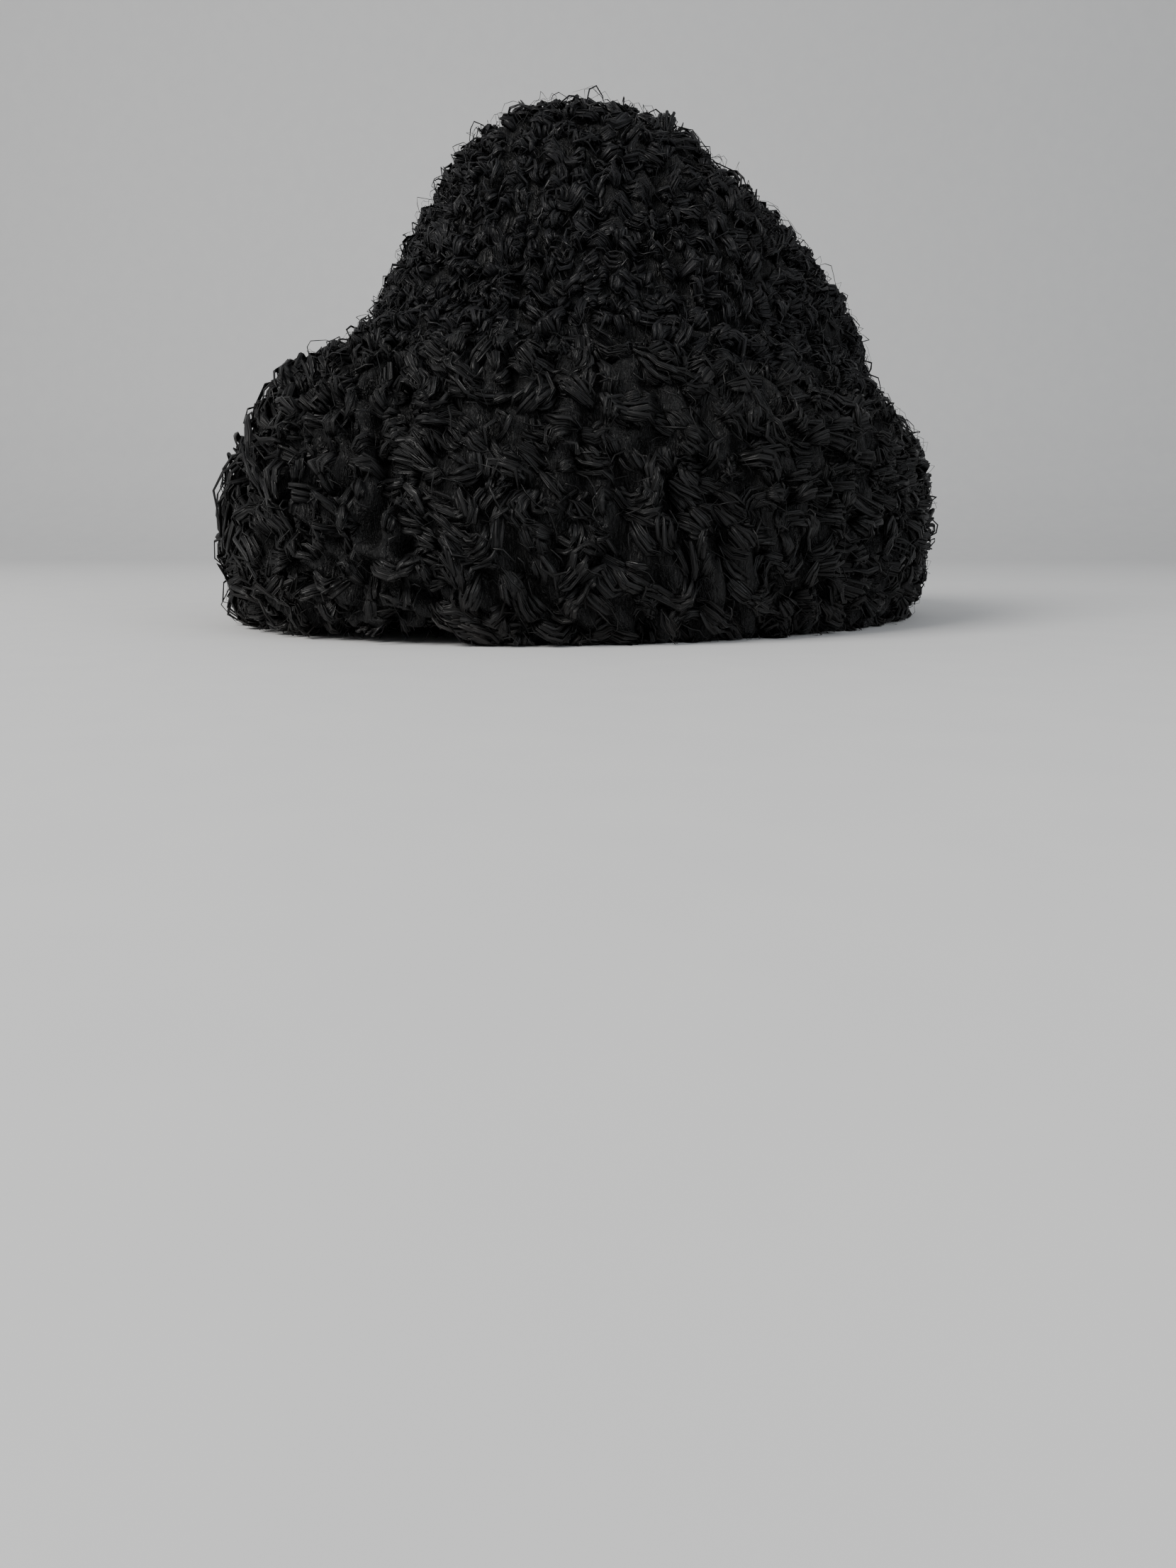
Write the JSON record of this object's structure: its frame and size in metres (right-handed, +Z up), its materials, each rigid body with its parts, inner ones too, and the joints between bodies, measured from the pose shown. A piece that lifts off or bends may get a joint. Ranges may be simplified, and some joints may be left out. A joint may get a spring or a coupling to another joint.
{
  "type": "karakul fur hat",
  "caption": "Soft hat of black curled karakul lambskin, with a peaked crown and a deep cuff turned up all round",
  "frame": {"origin": "on the table, in the middle of the hat's outline seen from above", "axes": "+Z up through the crown, -Y the way the wearer faces, +X the wearer's left"},
  "size_m": [0.2136, 0.2626, 0.155],
  "materials": {
    "crown_side_fur": "curled fur",
    "crown_tip_fur": "curled fur",
    "cuff_right_fur": "curled fur",
    "cuff_left_fur": "curled fur"
  },
  "bodies": {
    "root": {"crown_side": "crown_side_fur", "crown_tip": "crown_tip_fur", "cuff_right": "cuff_right_fur", "cuff_left": "cuff_left_fur"}
  },
  "joints": []
}
